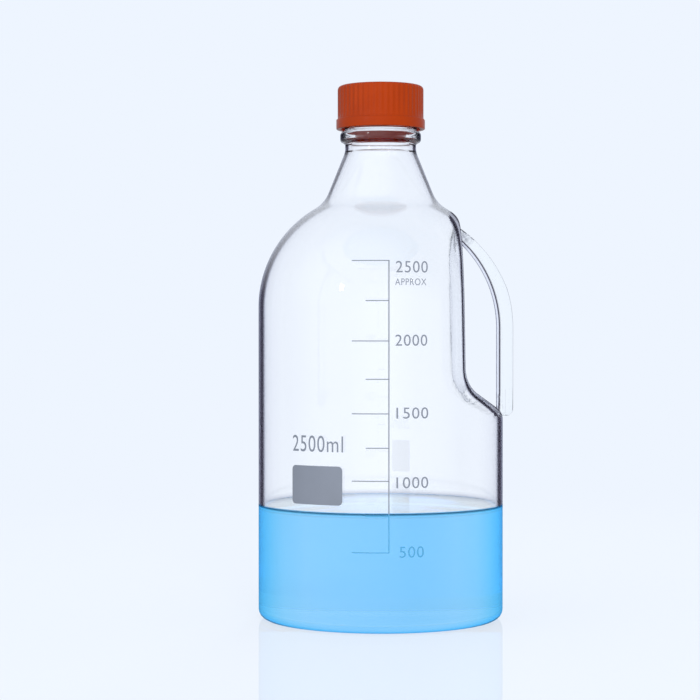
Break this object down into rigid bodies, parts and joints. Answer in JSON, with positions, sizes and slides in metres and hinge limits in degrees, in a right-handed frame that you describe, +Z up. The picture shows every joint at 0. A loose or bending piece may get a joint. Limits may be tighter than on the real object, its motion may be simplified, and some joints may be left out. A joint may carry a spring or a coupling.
{
  "type": "laboratory bottle with handle",
  "caption": "Clear glass screw-cap laboratory bottle with a hand recess, a glass handle and a printed volume scale, part filled with liquid.",
  "frame": {"origin": "centre of the ring that the bottle stands on, on the floor plane", "axes": "+Z up along the bottle's axis, towards the cap; +X towards the handle; -Y towards the front, where the volume scale is printed"},
  "size_m": [0.1436, 0.1381, 0.3003],
  "materials": {
    "clear_glass": "clear, smooth borosilicate glass",
    "blue_liquid": "clear sky blue water",
    "cap_plastic": "moulded orange plastic, satin",
    "seal_rubber": "white faced silicone",
    "enamel": "fired grey enamel print"
  },
  "bodies": {
    "bottle": {"bottle": "clear_glass", "liquid": "blue_liquid", "pouring_ring": "cap_plastic", "scale_marks": "enamel", "writing_field": "enamel"},
    "seal": {"seal_disc": "seal_rubber"},
    "cap": {"cap": "cap_plastic"}
  },
  "joints": [
    {"name": "cap_lift", "type": "slide", "parent": "bottle", "child": "seal", "axis": [0, 0, 1], "range_m": [0, 0.0361]},
    {"name": "cap_turn", "type": "hinge", "parent": "seal", "child": "cap", "pos_m": [0, 0, 0.29], "axis": [0, 0, 1], "range_deg": [0, 3240]}
  ],
  "couplings": [
    {"joint": "cap_lift", "follows": "cap_turn", "m_per_rad": 0.00063662}
  ]
}
